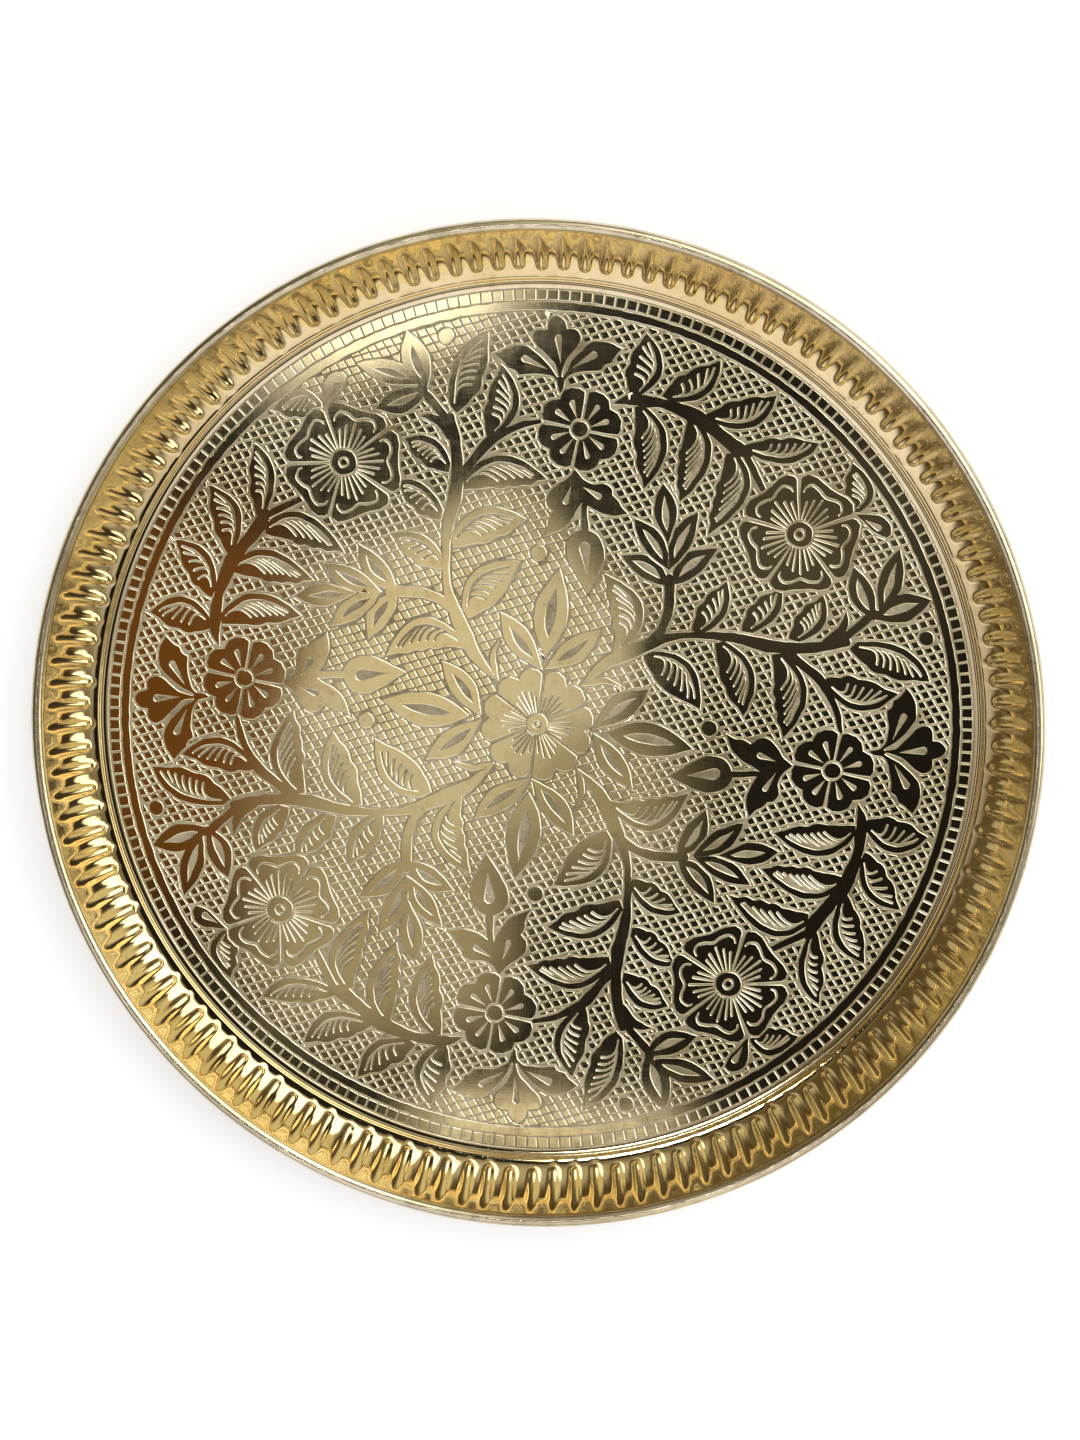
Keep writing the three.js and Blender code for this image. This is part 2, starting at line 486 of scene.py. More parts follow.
def everything():
    """All the motifs of the floor: the centre, and the quarter four times round it."""
    groups = centre()
    for level, *parts in quarter():
        for k in range(4):
            groups.append((level, *([turned(p, 90 * k) for p in part] for part in parts)))
    return groups


# ---------------------------------------------------------------- the wall and the rim
# Where the wall's columns stand across one rib, as shares of the pitch
RIB_PLACES = np.array([-0.39, -0.31, -0.22, -0.13, -0.045, 0.045, 0.13, 0.22, 0.31, 0.39])
RIB_SHIFT = random.uniform(-0.05, 0.05, RIBS)
RIB_STRENGTH = random.uniform(0.85, 1.12, RIBS)
RIB_FOOT = random.uniform(-0.4, 0.5, RIBS)
WALL_COLUMNS = np.arange(RIBS)[:, None] + RIB_PLACES + RIB_SHIFT[:, None]
WALL_ANGLES = (WALL_COLUMNS * math.tau / RIBS).ravel()
PITCH = math.tau * COVE_START / RIBS


def cove_profile(shares):
    """The cove as rows of radius, height, distance up it and material number."""
    radii = COVE_START + shares * (COVE_END - COVE_START)
    slopes = COVE_LOW_SLOPE + (COVE_HIGH_SLOPE - COVE_LOW_SLOPE) * (1 - (1 - shares) ** COVE_HASTE)
    width = np.diff(radii)
    rise = width * np.tan((slopes[1:] + slopes[:-1]) / 2)
    foot = SHEET + STEP_RISE + (COVE_START - FLOOR_RADIUS - STEP_WIDTH) * math.tan(COVE_LOW_SLOPE)
    heights = foot + np.append(0, np.cumsum(rise))
    up = np.append(0, np.cumsum(np.hypot(width, rise)))
    return [(*row, FORMED) for row in zip(radii, heights, up)]


def wall_profile():
    """The upper face as rows of radius, height, distance up the cove and material number.

    Off the cove the distance is -1."""
    step_shares = (0.25, 0.38, 0.5, 0.62, 0.75, 1)
    cove_rows, crowding = 15, 1.25
    roll_rows = 12
    rows = [(PATTERN_EDGE, GROUND, -1, EDGE_OF_ETCH), (PATTERN_EDGE + BEVEL, SHEET, -1, POLISHED),
            (FLOOR_RADIUS, SHEET, -1, POLISHED)]
    for share in step_shares:
        ease = (1 - math.cos(math.pi * min(2 * share - 0.5, 1))) / 2
        rows.append((FLOOR_RADIUS + STEP_WIDTH * share, SHEET + STEP_RISE * ease, -1, FORMED))
    rows += cove_profile(np.linspace(0, 1, cove_rows) ** crowding)
    for angle in np.linspace(ROLL_START, ROLL_END, roll_rows):
        rows.append((*roll_point(angle, ROLL_RADIUS), -1, RIM))
    return np.array(rows)


def roll_point(angle, radius):
    """The radius and height of a point round the middle of the curled edge."""
    centre_radius = OUTER_RADIUS - ROLL_RADIUS
    centre_height = shell_high[2] / MM - ROLL_RADIUS
    return centre_radius + radius * math.cos(angle), centre_height + radius * math.sin(angle)


def rib_height(up, angles):
    """How far the ribs stand out of the cove, for each distance up it and each angle round it."""
    turn = angles * RIBS / math.tau
    which = np.repeat(np.arange(RIBS), len(RIB_PLACES))
    across = (turn - which - RIB_SHIFT[which]) * PITCH
    share = np.clip(up[:, None] / RIB_LENGTH, 0, 1)
    narrowest, swell = 0.82, 0.25
    half = RIB_HALF_WIDTH * (narrowest + swell * np.sin(math.pi * share))
    foot = 0.8 * RIB_HALF_WIDTH
    below = np.clip(foot + RIB_FOOT[which] - up[:, None], 0, None) / foot
    out = np.clip((across / half) ** 2 + below**2, 0, 1)
    tall = RIB_HEIGHT * RIB_STRENGTH[which] * (1 - share**3)
    rounded = (1 + np.cos(math.pi * np.sqrt(out))) / 2
    return np.where(up[:, None] < 0, 0, tall * rounded * (share < 1))


def lathe(profile, angles, out=None):
    """A closed ring: the profile's points turned round the axis, moved by out along the radius and height."""
    radius = profile[:, :1] + (0 if out is None else out[:, :, 0])
    height = profile[:, 1:2] + (0 if out is None else out[:, :, 1]) + 0 * angles
    radius = radius + 0 * angles
    vertices = np.stack([radius * np.cos(angles), radius * np.sin(angles), height], -1).reshape(-1, 3)
    rows, columns = len(profile), len(angles)
    i, j = np.meshgrid(np.arange(rows), np.arange(columns), indexing="ij")
    after_i, after_j = (i + 1) % rows, (j + 1) % columns
    quads = [i * columns + j, i * columns + after_j, after_i * columns + after_j, after_i * columns + j]
    return vertices, np.stack(quads, -1).reshape(-1, 4)


def wall_ring():
    """The sheet outside the pattern: polished band, step, ribbed cove and curled edge, both faces."""
    upper = wall_profile()
    along = np.gradient(upper[:, :2], axis=0)
    along /= np.linalg.norm(along, axis=1, keepdims=True)
    facing = np.stack([-along[:, 1], along[:, 0]], -1)
    ribs = rib_height(upper[:, 2], WALL_ANGLES)[:, :, None] * facing[:, None]
    lower = upper[:, :2] - SHEET * facing
    flat_rows = 3
    lower[:flat_rows, 1] = 0
    lower[0, 0] = PATTERN_EDGE
    profile = np.vstack([upper[:, :2], lower[::-1]])
    vertices, quads = lathe(profile, WALL_ANGLES, np.vstack([ribs, ribs[::-1]]))
    upper_rows = len(upper)
    material = np.full(2 * upper_rows, BACK)
    material[:upper_rows] = upper[:, 3]
    return vertices, quads, np.repeat(material, len(WALL_ANGLES))


def wire_ring():
    """The round steel wire that the edge is curled over."""
    angles = np.linspace(0, math.tau, 360, endpoint=False)
    around = np.linspace(math.tau, 0, 16, endpoint=False)
    return lathe(np.array([roll_point(a, WIRE_RADIUS) for a in around]), angles)


# ---------------------------------------------------------------- the etched floor
LONGEST_MITRE = 1.8


def grow(outline, distance):
    """The outline moved outwards by a distance."""
    ahead = np.roll(outline, -1, 0) - outline
    ahead /= np.linalg.norm(ahead, axis=1, keepdims=True) + 1e-9
    turned_out = np.stack([ahead[:, 1], -ahead[:, 0]], -1) * np.sign(signed_area(outline))
    corner = turned_out + np.roll(turned_out, 1, 0)
    return outline + distance * mitre(corner)


def signed_area(outline):
    """The area inside the outline, negative if it runs clockwise."""
    x, y = outline.T
    return np.sum(x * np.roll(y, -1) - y * np.roll(x, -1)) / 2


def mitre(corner):
    """The way out of a corner, from the sum of its two edges' unit normals."""
    length = np.linalg.norm(corner, axis=1, keepdims=True) + 1e-6
    return corner / length * np.minimum(2 / length, LONGEST_MITRE)


def winding(points, outline):
    """How often the outline goes round each point."""
    x, y = points[:, :1], points[:, 1:]
    ax, ay = outline.T
    bx, by = np.roll(outline, -1, 0).T
    side = (bx - ax) * (y - ay) - (x - ax) * (by - ay)
    rising = (ay <= y) & (by > y) & (side > 0)
    falling = (ay > y) & (by <= y) & (side < 0)
    return rising.sum(1) - falling.sum(1)


def inside(points, outlines):
    """Which points lie inside any of the outlines."""
    found = np.zeros(len(points), bool)
    for outline in outlines:
        low, high = outline.min(0), outline.max(0)
        near = np.flatnonzero(((points > low) & (points < high)).all(1) & ~found)
        if len(near):
            found[near] = winding(points[near], outline) != 0
    return found


def motif_tops(points, groups):
    """Which points are on a polished motif. A higher level cuts a contour into those under it."""
    top = np.zeros(len(points), bool)
    for level in (0, 1, 2):
        here = [group for group in groups if group[0] == level]
        if level:
            top &= ~inside(points, [grow(s, CONTOUR) for _, solids, _, _ in here for s in solids])
        for _, solids, cuts, islands in here:
            top |= inside(points, solids) & ~inside(points, cuts)
            top |= inside(points, islands)
    return top


def hatch_cell(points):
    """The lattice cell that each point is in, and whether it is on the cell's polished diamond."""
    place = (points - HATCH_ORIGIN) @ np.linalg.inv(HATCH_STEPS)
    cell = np.round(place)
    on_diamond = (np.abs(place - cell) < HATCH_SHARE / 2).all(1)
    return cell.astype(int), on_diamond


def border_tops(points):
    """Which points are on the polished ring or on one of the border's squares."""
    radius = np.linalg.norm(points, axis=1)
    ring_top = (radius > RING_INNER) & (radius < RING_OUTER)
    turn = np.arctan2(points[:, 1], points[:, 0]) * SQUARES / math.tau
    in_row = (radius > SQUARE_INNER) & (radius < SQUARE_OUTER)
    return ring_top | (in_row & (np.abs(turn - np.round(turn)) < SQUARE_SHARE / 2))


def hatch_outlines(clearances):
    """The diamonds of the hatch, apart from those that the motifs cover."""
    reach = int(RING_INNER / np.linalg.norm(HATCH_STEPS[1])) * 2
    i, j = np.meshgrid(np.arange(-reach, reach), np.arange(-reach, reach))
    centres = HATCH_ORIGIN + np.stack([i.ravel(), j.ravel()], -1) @ HATCH_STEPS
    half_diamond = 1.5
    centres = centres[np.linalg.norm(centres, axis=1) < HATCH_RADIUS + half_diamond]
    corners = np.array([[1, 1], [-1, 1], [-1, -1], [1, -1]]) * HATCH_SHARE / 2 @ HATCH_STEPS
    diamonds = centres[:, None] + corners
    flat = diamonds.reshape(-1, 2)
    free = ~inside(flat, clearances) & (np.linalg.norm(flat, axis=1) < HATCH_RADIUS)
    return list(diamonds[free.reshape(-1, 4).any(1)])


def border_outlines():
    """The border's squares, and the circles between the hatch, the ring and the squares."""
    half = SQUARE_SHARE / 2 * math.tau / SQUARES
    squares = []
    for k in range(SQUARES):
        middle = k * math.tau / SQUARES
        angles = np.degrees([middle - half, middle + half, middle + half, middle - half])
        radii = np.array([SQUARE_INNER, SQUARE_INNER, SQUARE_OUTER, SQUARE_OUTER])
        squares.append(polar((0, 0), radii, angles))
    rings = [disc((0, 0), r, 3 * SQUARES) for r in (HATCH_RADIUS, RING_INNER, RING_OUTER)]
    return squares + rings


def triangulate(vertices, edges):
    """Triangles that keep every given edge, and the vertices with the crossings added."""
    joined_within = 0.004
    places = [Vector(v) for v in vertices.tolist()]
    made = delaunay_2d_cdt(places, edges.tolist(), [], 0, joined_within, False)
    return np.array([tuple(v) for v in made[0]]), np.array(made[2])


def closed_edges(outlines):
    """All the outlines' points in one array, and the edges that join each outline up."""
    edges, start = [], 0
    for outline in outlines:
        k = np.arange(len(outline))
        edges.append(np.stack([k, np.roll(k, -1)], -1) + start)
        start += len(outline)
    return np.vstack(outlines), np.vstack(edges)


def outer_edges(triangles):
    """The directed edges that only one of the triangles has."""
    directed = np.vstack([triangles[:, [0, 1]], triangles[:, [1, 2]], triangles[:, [2, 0]]])
    size = directed.max() + 1
    key = directed[:, 0] * size + directed[:, 1]
    reverse = directed[:, 1] * size + directed[:, 0]
    return directed[~np.isin(key, reverse)]


def floor_relief():
    """The floor's upper face: vertices in millimetres, triangles, and which of them are tops or bevels."""
    groups = everything()
    solids = [s for group in groups for s in group[1]]
    clearances = [grow(s, CLEARANCE) for s in solids]
    contours = [grow(s, CONTOUR) for group in groups if group[0] for s in group[1]]
    inner_lines = [line for group in groups for line in group[2] + group[3]]
    outlines = solids + clearances + contours + inner_lines
    outlines += hatch_outlines(clearances) + border_outlines()
    points, triangles = triangulate(*closed_edges(outlines))

    more_than_a_row = 1000

    def tops(points, dropped=None):
        """Which points are on a top, which are on the hatch, and the number of each one's diamond."""
        cell, on_diamond = hatch_cell(points)
        in_hatch = np.linalg.norm(points, axis=1) < HATCH_RADIUS
        hatch = on_diamond & in_hatch & ~inside(points, clearances)
        name = cell[:, 0] * more_than_a_row + cell[:, 1]
        if dropped is not None:
            hatch &= ~np.isin(name, dropped)
        return motif_tops(points, groups) | border_tops(points) | hatch, hatch, name

    corners = points[triangles]
    side_a, side_b = corners[:, 1] - corners[:, 0], corners[:, 2] - corners[:, 0]
    area = np.abs(side_a[:, 0] * side_b[:, 1] - side_a[:, 1] * side_b[:, 0]) / 2
    top, hatch, name = tops(corners.mean(1))
    names, which = np.unique(name[hatch], return_inverse=True)
    dropped = names[np.bincount(which, area[hatch]) < SMALLEST_FRAGMENT]
    top &= ~(hatch & np.isin(name, dropped))

    edge = outer_edges(triangles[top])
    used, edge = np.unique(edge, return_inverse=True)
    edge = edge.reshape(-1, 2)
    upper = points[used]
    ahead = upper[edge[:, 1]] - upper[edge[:, 0]]
    ahead /= np.linalg.norm(ahead, axis=1, keepdims=True)
    outward = np.stack([ahead[:, 1], -ahead[:, 0]], -1)
    corner = np.zeros_like(upper)
    np.add.at(corner, edge[:, 0], outward)
    np.add.at(corner, edge[:, 1], outward)
    lower = upper + BEVEL * mitre(corner)
    rim = PATTERN_EDGE * np.stack([np.cos(WALL_ANGLES), np.sin(WALL_ANGLES)], -1)
    rim_edge = np.stack([np.arange(len(rim)), np.roll(np.arange(len(rim)), -1)], -1)
    vertices = np.vstack([upper, lower, rim])
    edges = np.vstack([edge, edge + len(upper), rim_edge + 2 * len(upper)])
    points, triangles = triangulate(vertices, edges)
    top = tops(points[triangles].mean(1), dropped)[0]
    high = np.zeros(len(points), bool)
    high[triangles[top]] = True
    sloping = ~top & high[triangles].any(1)
    return points, triangles, high, top, sloping


# ---------------------------------------------------------------- meshes
def piece(name, vertices, faces, materials, numbers, sharp_degrees, node):
    """A mesh that rides on the tray's one body and stands for a CAD node."""
    mesh = bpy.data.meshes.new(name)
    mesh.from_pydata((np.asarray(vertices) * MM).tolist(), [], faces)
    for made in materials:
        mesh.materials.append(made)
    mesh.polygons.foreach_set("material_index", np.asarray(numbers, dtype=np.int32))
    mesh.shade_smooth()
    mesh.set_sharp_from_angle(angle=math.radians(sharp_degrees))
    mesh.validate()
    obj = bpy.data.objects.new(name, mesh)
    bpy.context.collection.objects.link(obj)
    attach(obj, "root")
    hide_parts(node)
    return obj


def wander(points):
    """The small unevenness of a hand-cut resist: a smooth shift, typically a tenth of a millimetre."""
    waves, depth, still_edge = 10, 0.035, 4
    shortest, longest = 2.5, 9
    shift = np.zeros_like(points)
    for _ in range(waves):
        direction = random.uniform(0, math.tau)
        way = np.array([math.cos(direction), math.sin(direction)])
        wave = math.tau / random.uniform(shortest, longest) * way
        height = np.sin(points @ wave + random.uniform(0, math.tau))[:, None]
        shift += depth * height * random.normal(0, 1, 2)
    inward = np.clip((PATTERN_EDGE - np.linalg.norm(points, axis=1)) / still_edge, 0, 1)
    return shift * inward[:, None]


def floor_piece(materials):
    """The etched floor, closed by a low side and a flat underside."""
    points, triangles, high, top, sloping = floor_relief()
    height = np.where(high, SHEET, GROUND)
    radius = np.linalg.norm(points, axis=1)
    tolerance = 0.02
    rim = np.flatnonzero(radius > PATTERN_EDGE - tolerance)
    rim = rim[np.argsort(np.arctan2(points[rim, 1], points[rim, 0]))]
    upper = np.column_stack([points + wander(points), height])
    below = np.column_stack([points[rim], np.zeros(len(rim))])
    vertices = np.vstack([upper, below, [[0, 0, 0]]])
    middle = len(vertices) - 1
    k = np.arange(len(rim))
    after = np.roll(k, -1)
    start = len(points)
    side = np.stack([rim[k], start + k, start + after, rim[after]], -1)
    fan = np.stack([np.full(len(rim), middle), start + after, start + k], -1)
    number = np.where(top, TOP, np.where(sloping, SLOPING, ETCHED))
    faces = triangles.tolist() + side.tolist() + fan.tolist()
    numbers = np.concatenate([number, np.full(len(rim), ETCHED), np.full(len(rim), UNDER)])
    return piece("tray_floor", vertices, faces, materials, numbers, sharp_degrees=22,
                 node="tray_shell")


# ---------------------------------------------------------------- materials
class Nodes:
    """A short way to add nodes to a material or world."""

    def __init__(self, owner):
        owner.use_nodes = True
        self.tree = owner.node_tree
        self.tree.nodes.clear()

    def add(self, kind, inputs=(), **settings):
        node = self.tree.nodes.new(kind)
        for key, value in settings.items():
            setattr(node, key, value)
        for key, value in dict(inputs).items():
            if isinstance(value, bpy.types.NodeSocket):
                self.tree.links.new(value, node.inputs[key])
            else:
                node.inputs[key].default_value = value
        return node

    def noise(self, vector, scale, detail=3.0, roughness=0.5, distortion=0.0):
        inputs = {"Vector": vector, "Scale": scale, "Detail": detail, "Roughness": roughness,
                  "Distortion": distortion}
        return self.add("ShaderNodeTexNoise", inputs).outputs["Fac"]

    def stretched(self, vector, scale, turn=0.0):
        inputs = {"Vector": vector, "Scale": scale, "Rotation": (0, 0, turn)}
        return self.add("ShaderNodeMapping", inputs).outputs["Vector"]

    def band(self, value, low, high, to_low=0.0, to_high=1.0):
        inputs = {"Value": value, "From Min": low, "From Max": high, "To Min": to_low, "To Max": to_high}
        node = self.add("ShaderNodeMapRange", inputs, interpolation_type="SMOOTHSTEP")
        return node.outputs["Result"]

    def mix(self, share, a, b, blend="MIX"):
        node = self.add("ShaderNodeMix", {0: share}, data_type="RGBA", blend_type=blend)
        for key, value in ((6, a), (7, b)):
            if isinstance(value, bpy.types.NodeSocket):
                self.tree.links.new(value, node.inputs[key])
            else:
                node.inputs[key].default_value = (*value, 1)
        return node.outputs[2]

    def maths(self, operation, a, b=0.0):
        return self.add("ShaderNodeMath", {0: a, 1: b}, operation=operation).outputs[0]

    def vector(self, operation, a, b):
        return self.add("ShaderNodeVectorMath", {0: a, 1: b}, operation=operation).outputs[0]

    def bump(self, height, distance, strength, normal=None):
        inputs = {"Height": height, "Distance": distance, "Strength": strength}
        if normal is not None:
            inputs["Normal"] = normal
        return self.add("ShaderNodeBump", inputs).outputs["Normal"]

    def surface(self, colour, roughness, normal, metallic=1.0, **fixed):
        inputs = {"Base Color": colour, "Roughness": roughness, "Normal": normal, "Metallic": metallic}
        shader = self.add("ShaderNodeBsdfPrincipled", {**inputs, **fixed})
        out = self.add("ShaderNodeOutputMaterial")
        self.tree.links.new(shader.outputs[0], out.inputs["Surface"])


def brass(name, light, dark, rough_low, rough_high, grain, grain_depth, scratch_depth, waves=0.0,
          spots=0.3):
    """Metal between a light and a dark colour, with fine scratches, faint waves, grain and tarnish.

    Scales are per metre. waves and the depths are shares of the full heights; spots is the tarnish's."""
    material = bpy.data.materials.new(name)
    n = Nodes(material)
    place = n.add("ShaderNodeTexCoord").outputs["Object"]
    broad = n.noise(place, scale=22, detail=4, roughness=0.6)
    cloud = n.noise(place, scale=140, detail=4, roughness=0.65, distortion=0.4)
    speck = n.noise(place, scale=900, detail=2, roughness=0.6)
    along, crossing = n.stretched(place, (90, 2600, 90), 0.4), n.stretched(place, (2100, 70, 90), -0.3)
    scratches = n.noise(along, scale=1, detail=2, roughness=0.6)
    crossed = n.noise(crossing, scale=1, detail=2, roughness=0.6)
    colour = n.mix(n.band(n.maths("ADD", broad, n.maths("MULTIPLY", cloud, 0.5)), 0.6, 0.95), light, dark)
    tarnish = n.band(n.maths("MULTIPLY", cloud, speck), 0.3, 0.42, 0, spots)
    tarnished = tuple(c * 0.55 for c in dark)
    colour = n.mix(tarnish, colour, tarnished)
    wear = n.maths("ADD", n.maths("MULTIPLY", scratches, 0.5), n.maths("MULTIPLY", crossed, 0.5))
    roughness = n.band(n.maths("ADD", n.maths("MULTIPLY", wear, 0.6), n.maths("MULTIPLY", cloud, 0.4)),
                       0.35, 0.68, rough_low, rough_high)
    wave_height, scratch_height, grain_height = 0.004, 0.0002, 0.0003
    normal = n.bump(n.noise(place, scale=30, detail=1), wave_height, waves)
    normal = n.bump(wear, scratch_height, scratch_depth, normal)
    grains = n.noise(place, grain, detail=3, roughness=0.6)
    normal = n.bump(grains, grain_height, grain_depth, normal)
    n.surface(colour, roughness, normal)
    return material


def polished_brass():
    return brass("polished_brass", light=(0.90, 0.77, 0.48), dark=(0.85, 0.70, 0.41), rough_low=0.03,
                 rough_high=0.07, grain=1500, grain_depth=0.001, scratch_depth=0.003, waves=0.006)


def etched_brass():
    return brass("etched_brass", light=(0.60, 0.53, 0.35), dark=(0.31, 0.26, 0.15), rough_low=0.26,
                 rough_high=0.38, grain=2400, grain_depth=0.5, scratch_depth=0.05, spots=0.6)


# Painted highlight: the sloping edges get a pale cream colour, lighter than both the etched ground and the
# polished tops, so that they show as bright lines. Their slope also catches real light.
def bevel_brass_with_painted_highlight():
    return brass("etched_edge_painted_highlight_brass", light=(0.95, 0.89, 0.68), dark=(0.85, 0.77, 0.52), rough_low=0.20,
                 rough_high=0.32, grain=2600, grain_depth=0.12, scratch_depth=0.05)


def formed_brass():
    return brass("formed_brass", light=(0.89, 0.73, 0.40), dark=(0.81, 0.63, 0.30), rough_low=0.04,
                 rough_high=0.09, grain=900, grain_depth=0.002, scratch_depth=0.003, waves=0.02)


def rim_brass():
    return brass("worn_rim_brass", light=(0.76, 0.68, 0.48), dark=(0.56, 0.49, 0.32), rough_low=0.14,
                 rough_high=0.26, grain=2200, grain_depth=0.08, scratch_depth=0.1, spots=0.5)


def under_brass():
    return brass("brushed_underside_brass", light=(0.84, 0.68, 0.38), dark=(0.70, 0.52, 0.26),
                 rough_low=0.25, rough_high=0.42, grain=1500, grain_depth=0.05, scratch_depth=0.15)


def wire_steel():
    return brass("wire_steel", light=(0.58, 0.57, 0.55), dark=(0.40, 0.38, 0.35), rough_low=0.22,
                 rough_high=0.40, grain=1600, grain_depth=0.05, scratch_depth=0.10, spots=0.5)


# ---------------------------------------------------------------- floor, light and camera
CAMERA_ABOVE_FLOOR = 1494.6
CAMERA_PLACE = np.array([148.5, 213.7, CAMERA_ABOVE_FLOOR + SHEET])
CAMERA_TILT = (math.radians(-8.08), math.radians(5.58))
FOCAL_LENGTH = 109.4


def camera():
    """The camera, above the tray and a little to its upper right."""
    data = bpy.data.cameras.new("camera")
    data.lens = FOCAL_LENGTH
    data.sensor_width = 36
    obj = bpy.data.objects.new("camera", data)
    obj.location = CAMERA_PLACE * MM
    obj.rotation_mode = "ZYX"
    obj.rotation_euler = Euler((*CAMERA_TILT, 0), "ZYX")
    bpy.context.collection.objects.link(obj)
    bpy.context.scene.camera = obj


def stage_floor():
    """A plain pale floor under the tray; it glows a little, so that it stays white."""
    material = bpy.data.materials.new("studio_floor")
    n = Nodes(material)
    place = n.add("ShaderNodeTexCoord").outputs["Object"]
    grain = n.noise(place, scale=60)
    normal = n.bump(grain, distance=0.001, strength=0.02)
    glow = {"Emission Color": (1, 1, 1, 1), "Emission Strength": 0.55}
    colour = n.mix(grain, (0.58, 0.60, 0.64), (0.62, 0.64, 0.68))
    n.surface(colour, roughness=0.8, normal=normal, metallic=0.0, **glow)
    outline = disc((0, 0), radius=3000, n=64)
    mesh = bpy.data.meshes.new("studio_floor")
    mesh.from_pydata([(x * MM, y * MM, 0) for x, y in outline], [], [list(range(len(outline)))])
    mesh.materials.append(material)
    obj = bpy.data.objects.new("studio_floor", mesh)
    bpy.context.collection.objects.link(obj)


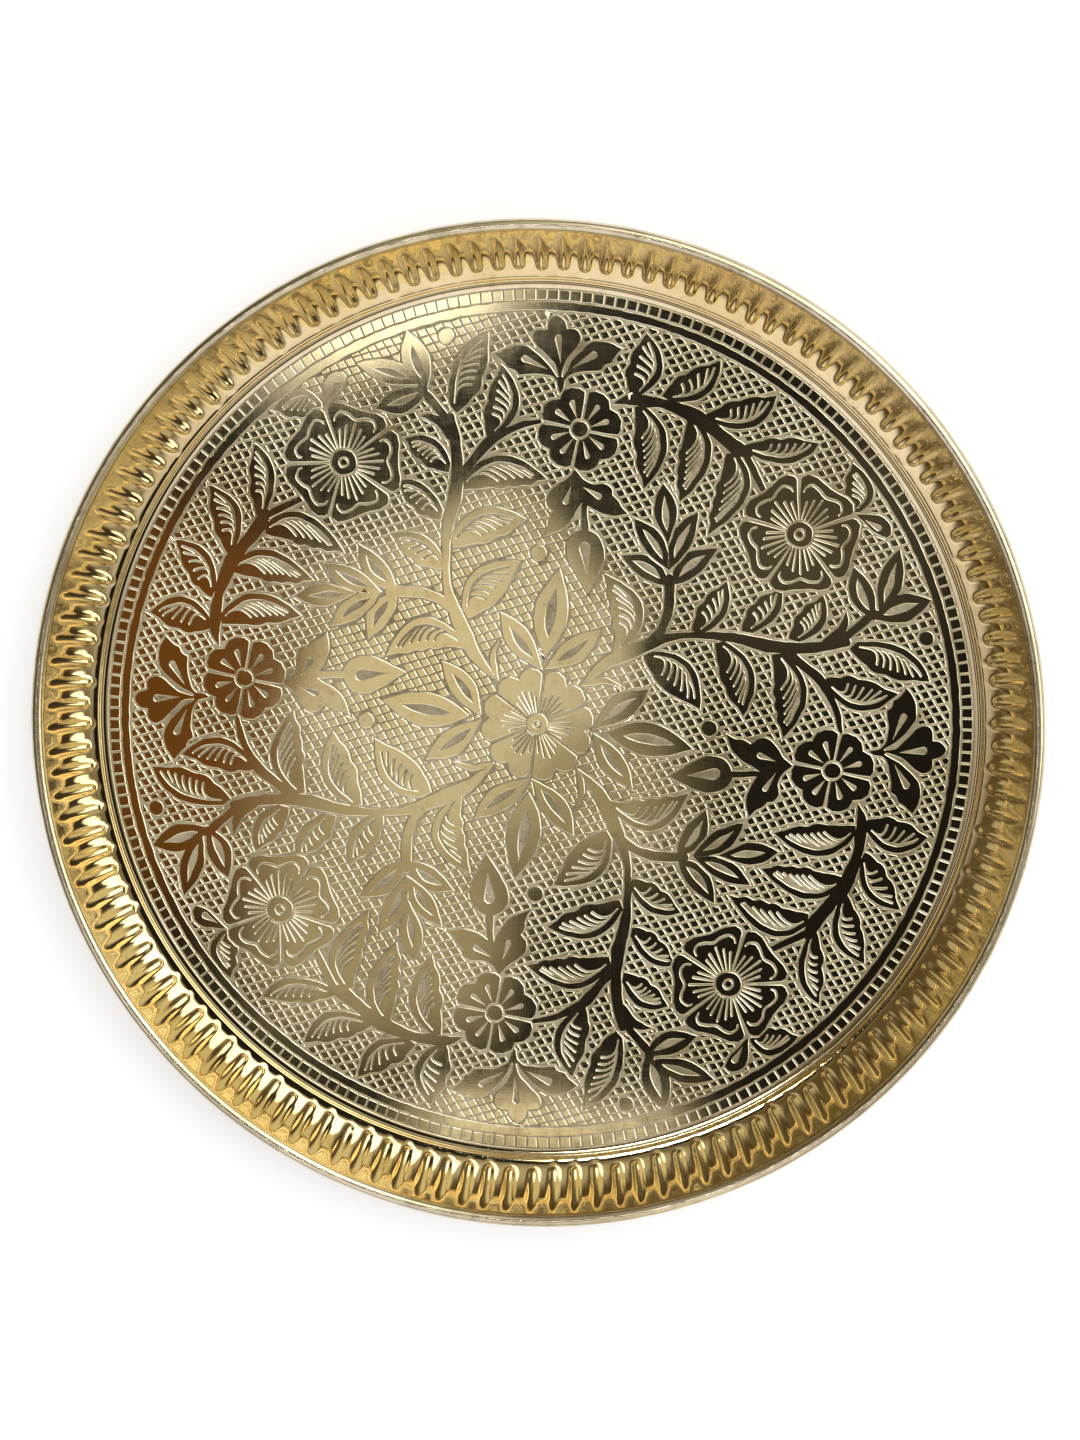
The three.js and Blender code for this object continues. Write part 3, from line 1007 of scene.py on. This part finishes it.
def studio_light():
    """The surroundings that the brass mirrors: a dim room, 12 soft patches round it and 10 cards above.

    The floor mirrors what is near the zenith, so the cards are laid out in millimetres as the tray's floor
    shows them to the camera in its place; other views mirror them elsewhere. The camera itself sees a
    plain white backdrop instead of all this."""
    world = bpy.data.worlds.new("studio")
    bpy.context.scene.world = world
    n = Nodes(world)
    way = n.add("ShaderNodeTexCoord").outputs["Generated"]
    rise = n.add("ShaderNodeSeparateXYZ", {0: way}).outputs["Z"]
    flat = n.vector("MULTIPLY", way, (1, 1, 0))
    lowest_rise = 0.2
    reach = n.maths("DIVIDE", CAMERA_ABOVE_FLOOR, n.maths("MAXIMUM", rise, lowest_rise))
    offset = n.add("ShaderNodeVectorMath", {0: flat, "Scale": reach}, operation="SCALE").outputs[0]
    seen = n.vector("ADD", offset, (CAMERA_PLACE[0], CAMERA_PLACE[1], 0))
    ripple = n.add("ShaderNodeTexNoise", {"Vector": seen, "Scale": 0.03, "Detail": 2}).outputs["Color"]
    ripple_width = 26
    ripple = n.vector("SUBTRACT", ripple, (0.5, 0.5, 0.5))
    ripple = n.vector("MULTIPLY", ripple, (ripple_width, ripple_width, 0))
    seen = n.vector("ADD", seen, ripple)

    def towards(colour_below, azimuth, elevation, inner, outer, colour):
        """A soft round patch seen in one direction; inner and outer are its half widths in degrees."""
        a, e = math.radians(azimuth), math.radians(elevation)
        aim = (math.cos(a) * math.cos(e), math.sin(a) * math.cos(e), math.sin(e))
        along = n.add("ShaderNodeVectorMath", {0: way, 1: aim}, operation="DOT_PRODUCT").outputs["Value"]
        share = n.band(along, math.cos(math.radians(outer)), math.cos(math.radians(inner)))
        return n.mix(share, colour_below, colour)

    def mirrored(colour_below, centre, radii, turn, soft, colour):
        """A soft-edged, round-cornered card that the polished floor shows at this place. Radii are its half
        sides, and soft is its edge's share of them."""
        inputs = {"Vector": seen, "Location": (*centre, 0), "Rotation": (0, 0, math.radians(turn)),
                  "Scale": (*radii, 1)}
        placed = n.add("ShaderNodeMapping", inputs, vector_type="TEXTURE").outputs[0]
        squared = n.vector("MULTIPLY", placed, placed)
        length = n.add("ShaderNodeVectorMath", {0: squared}, operation="LENGTH").outputs["Value"]
        far = n.maths("SQRT", length)
        overhead = n.band(rise, 0.8, 0.85)
        share = n.maths("MULTIPLY", n.band(far, 1 + soft, 1 - soft), overhead)
        return n.mix(share, colour_below, colour)

    low_walls, high_walls = (0.11, 0.08, 0.045), (0.38, 0.36, 0.31)
    sky = n.mix(n.band(rise, 0.1, 0.5), low_walls, high_walls)
    streaks = n.noise(n.stretched(way, (6, 6, 1.5)), scale=1.0, detail=3, roughness=0.6)
    dimmed = n.mix(1.0, sky, (0.6, 0.56, 0.5), "MULTIPLY")
    sky = n.mix(n.band(streaks, 0.42, 0.58), dimmed, sky)
    sky = towards(sky, 125, 46, 14, 36, (0.09, 0.08, 0.06))
    sky = towards(sky, 180, 48, 14, 42, (0.12, 0.09, 0.05))
    sky = towards(sky, 8, 4, 12, 26, (0.05, 0.04, 0.03))
    sky = towards(sky, 140, 10, 8, 28, (0.14, 0.11, 0.06))
    sky = towards(sky, 315, 10, 6, 20, (0.55, 0.5, 0.38))
    sky = towards(sky, 50, 10, 10, 32, (0.72, 0.64, 0.42))
    sky = towards(sky, 90, 48, 14, 34, (0.50, 0.46, 0.38))
    sky = towards(sky, 255, 46, 18, 44, (1.0, 0.96, 1.05))
    sky = towards(sky, 275, 24, 8, 20, (1.0, 0.92, 0.70))
    sky = towards(sky, 166, 9, 12, 22, (0.5, 0.46, 0.34))
    sky = towards(sky, 0, 33, 11, 21, (2.2, 2.15, 2.0))
    sky = towards(sky, 45, 48, 24, 31, (2.6, 2.5, 2.35))
    dark, gold, cream = (0.012, 0.011, 0.010), (0.145, 0.058, 0.011), (0.62, 0.59, 0.49)
    sky = mirrored(sky, (80, 110), (320, 320), 0, 0.1, dark)
    sky = mirrored(sky, (95, 62), (38, 32), 0, 0.7, (0.08, 0.07, 0.058))
    sky = mirrored(sky, (-118, 10), (38, 66), 0, 0.35, gold)
    sky = mirrored(sky, (-58, -62), (42, 48), 0, 0.35, (0.39, 0.35, 0.26))
    sky = mirrored(sky, (16, -26), (34, 24), 0, 0.4, (0.36, 0.33, 0.25))
    sky = mirrored(sky, (-26, 19), (58, 44), 43, 0.12, cream)
    sky = mirrored(sky, (-40, 32), (28, 32), 43, 0.6, (0.72, 0.67, 0.54))
    sky = mirrored(sky, (0, -141), (46, 10), 0, 0.3, (0.9, 0.84, 0.70))
    sky = mirrored(sky, (-54, 147), (44, 18), 15, 0.6, (1.8, 1.78, 1.7))
    sky = mirrored(sky, (-64, 206), (56, 28), 15, 0.3, (34, 33.5, 32))
    seen_by_camera = n.add("ShaderNodeLightPath").outputs["Is Camera Ray"]
    backdrop = (0.95, 0.95, 0.95)
    sky = n.mix(seen_by_camera, sky, backdrop)
    background = n.add("ShaderNodeBackground", {"Color": sky, "Strength": 1.0})
    out = n.add("ShaderNodeOutputWorld")
    n.tree.links.new(background.outputs[0], out.inputs["Surface"])
    bpy.context.scene.view_settings.view_transform = "Standard"


# ---------------------------------------------------------------- putting it together
camera()
studio_light()
stage_floor()
etched, polished, painted_highlight_bevel, under = etched_brass(), polished_brass(), bevel_brass_with_painted_highlight(), under_brass()
floor_piece([etched, polished, painted_highlight_bevel, under])
vertices, quads, numbers = wall_ring()
# The wall's first row, the sloping edge round the etched floor, also gets the painted-highlight colour.
wall_metals = [painted_highlight_bevel, polished, formed_brass(), under, rim_brass()]
piece("tray_wall", vertices, quads.tolist(), wall_metals, numbers, sharp_degrees=40,
      node="tray_shell")
vertices, quads = wire_ring()
wire_numbers = np.zeros(len(quads))
piece("edge_wire_round", vertices, quads.tolist(), [wire_steel()], wire_numbers, sharp_degrees=60,
      node="edge_wire")
